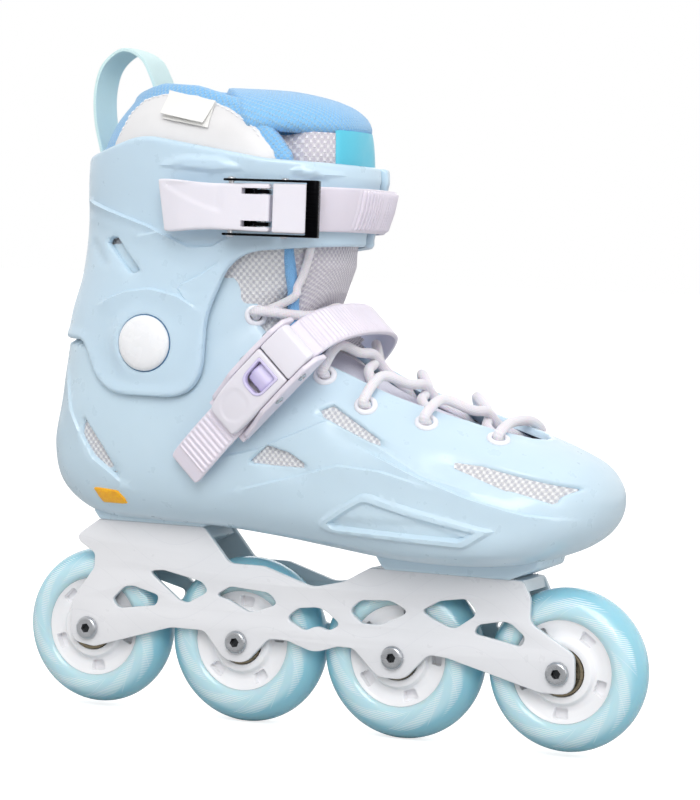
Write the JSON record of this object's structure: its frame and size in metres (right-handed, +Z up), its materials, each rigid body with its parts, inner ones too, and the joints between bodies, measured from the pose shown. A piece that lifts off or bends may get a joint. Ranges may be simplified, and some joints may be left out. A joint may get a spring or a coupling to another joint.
{
  "type": "inline skate",
  "caption": "Hard-shell inline skate with a leaning cuff, buckled straps, laces, padded liner and a straight row of ball-bearing wheels under a plate frame.",
  "frame": {"origin": "floor level under the middle of the wheelbase, on the skate's centre plane", "axes": "+X towards the toe, +Z up, -Y the outer side of the foot, where the buckles are; a right skate"},
  "size_m": [0.318, 0.1155, 0.3242],
  "materials": {
    "tyre_1": "cast translucent pale blue urethane",
    "hub_1": "white moulded nylon",
    "bearing_outer_1": "608 bearing, shielded",
    "bearing_inner_1": "608 bearing, shielded",
    "spacer_1": "plain sleeve",
    "axle_1": "low-head axle, 8 mm",
    "tyre_2": "cast translucent pale blue urethane",
    "hub_2": "white moulded nylon",
    "bearing_outer_2": "608 bearing, shielded",
    "bearing_inner_2": "608 bearing, shielded",
    "spacer_2": "plain sleeve",
    "axle_2": "low-head axle, 8 mm",
    "tyre_3": "cast translucent pale blue urethane",
    "hub_3": "white moulded nylon",
    "bearing_outer_3": "608 bearing, shielded",
    "bearing_inner_3": "608 bearing, shielded",
    "spacer_3": "plain sleeve",
    "axle_3": "low-head axle, 8 mm",
    "tyre_4": "cast translucent pale blue urethane",
    "hub_4": "white moulded nylon",
    "bearing_outer_4": "608 bearing, shielded",
    "bearing_inner_4": "608 bearing, shielded",
    "spacer_4": "plain sleeve",
    "axle_4": "low-head axle, 8 mm",
    "frame": "satin white over aluminium",
    "mount_bolt_rear": "zinc plated",
    "mount_bolt_front": "zinc plated",
    "shell": "pastel blue moulding, soft sheen",
    "reflector_outer": "amber-yellow reflector",
    "reflector_inner": "amber-yellow reflector",
    "cuff": "pastel blue moulding, soft sheen",
    "pivot_bolt_outer": "steel pivot",
    "pivot_cap_outer": "white domed cap",
    "pivot_bolt_inner": "steel pivot",
    "pivot_cap_inner": "white domed cap",
    "liner_lower": "padded spacer mesh",
    "liner_upper": "padded, pearl panel with blue mesh collar",
    "tongue_lower": "padded, pale lavender grey",
    "tongue_upper": "padded spacer mesh, blue edges",
    "insole": "grey foam with cloth top",
    "pull_loop": "mint webbing",
    "top_buckle_base": "black steel plate",
    "top_buckle_lever": "white moulding",
    "top_buckle_pin": "plain pin",
    "bail_pin": "plain pin",
    "top_buckle_bail": "black steel frame",
    "top_strap_block": "white moulding",
    "top_strap": "white flexible strap",
    "top_strap_screw": "pan head screw",
    "instep_buckle_base": "white moulding",
    "instep_buckle_screw": "pan head screw",
    "instep_lever": "white moulding",
    "instep_pawl": "pale lavender moulding",
    "instep_lever_pin": "plain pin",
    "instep_pawl_pin": "plain pin",
    "instep_strap": "white flexible strap",
    "instep_strap_screw": "pan head screw",
    "lace": "round glossy white cord"
  },
  "bodies": {
    "boot": {"frame": "frame", "mount_bolt_rear": "mount_bolt_rear", "mount_bolt_front": "mount_bolt_front", "shell": "shell", "reflector_outer": "reflector_outer", "reflector_inner": "reflector_inner", "pivot_bolt_outer": "pivot_bolt_outer", "pivot_bolt_inner": "pivot_bolt_inner", "pivot_cap_outer": "pivot_cap_outer", "pivot_cap_inner": "pivot_cap_inner", "liner_lower": "liner_lower", "tongue_lower": "tongue_lower", "insole": "insole", "instep_buckle_base": "instep_buckle_base", "instep_buckle_screw": "instep_buckle_screw", "instep_lever_pin": "instep_lever_pin", "instep_pawl_pin": "instep_pawl_pin", "instep_strap": "instep_strap", "instep_strap_screw": "instep_strap_screw", "lace": "lace", "axle_1": "axle_1", "axle_2": "axle_2", "axle_3": "axle_3", "axle_4": "axle_4", "spacer_1": "spacer_1", "spacer_2": "spacer_2", "spacer_3": "spacer_3", "spacer_4": "spacer_4"},
    "wheel_1": {"tyre_1": "tyre_1", "hub_1": "hub_1", "bearing_outer_1": "bearing_outer_1", "bearing_inner_1": "bearing_inner_1"},
    "wheel_2": {"tyre_2": "tyre_2", "hub_2": "hub_2", "bearing_outer_2": "bearing_outer_2", "bearing_inner_2": "bearing_inner_2"},
    "wheel_3": {"tyre_3": "tyre_3", "hub_3": "hub_3", "bearing_outer_3": "bearing_outer_3", "bearing_inner_3": "bearing_inner_3"},
    "wheel_4": {"tyre_4": "tyre_4", "hub_4": "hub_4", "bearing_outer_4": "bearing_outer_4", "bearing_inner_4": "bearing_inner_4"},
    "cuff": {"cuff": "cuff", "liner_upper": "liner_upper", "tongue_upper": "tongue_upper", "pull_loop": "pull_loop", "top_buckle_base": "top_buckle_base", "top_buckle_pin": "top_buckle_pin", "top_strap_block": "top_strap_block", "top_strap": "top_strap", "top_strap_screw": "top_strap_screw"},
    "top_lever": {"top_buckle_lever": "top_buckle_lever", "bail_pin": "bail_pin"},
    "bail": {"top_buckle_bail": "top_buckle_bail"},
    "instep_lever": {"instep_lever": "instep_lever"},
    "instep_pawl": {"instep_pawl": "instep_pawl"}
  },
  "joints": [
    {"name": "wheel_1_spin", "type": "hinge", "parent": "boot", "child": "wheel_1", "pos_m": [-0.1215, 0, 0.04], "axis": [0, 1, 0], "continuous": true},
    {"name": "wheel_2_spin", "type": "hinge", "parent": "boot", "child": "wheel_2", "pos_m": [-0.0405, 0, 0.04], "axis": [0, 1, 0], "continuous": true},
    {"name": "wheel_3_spin", "type": "hinge", "parent": "boot", "child": "wheel_3", "pos_m": [0.0405, 0, 0.04], "axis": [0, 1, 0], "continuous": true},
    {"name": "wheel_4_spin", "type": "hinge", "parent": "boot", "child": "wheel_4", "pos_m": [0.1215, 0, 0.04], "axis": [0, 1, 0], "continuous": true},
    {"name": "cuff_lean", "type": "hinge", "parent": "boot", "child": "cuff", "pos_m": [-0.08, 0, 0.182], "axis": [0, 1, 0], "range_deg": [0, 10]},
    {"name": "top_lever_open", "type": "hinge", "parent": "cuff", "child": "top_lever", "pos_m": [-0.0175, -0.052, 0.247], "axis": [0, 0, 1], "range_deg": [0, 100]},
    {"name": "bail_swing", "type": "hinge", "parent": "top_lever", "child": "bail", "pos_m": [-0.03194, -0.05672, 0.247], "axis": [0, 0, 1], "range_deg": [-100, 0]},
    {"name": "instep_lever_lift", "type": "hinge", "parent": "boot", "child": "instep_lever", "pos_m": [-0.01365, -0.0566, 0.16836], "axis": [-0.7193, 0, 0.6947], "range_deg": [0, 30]},
    {"name": "instep_pawl_press", "type": "hinge", "parent": "boot", "child": "instep_pawl", "pos_m": [-0.00282, -0.0562, 0.17958], "axis": [0.7193, 0, -0.6947], "range_deg": [0, 12], "stiffness_Nm_per_rad": 0.05, "springref_deg": -2.86}
  ],
  "couplings": [
    {"joint": "bail_swing", "follows": "top_lever_open", "ratio": -1}
  ]
}
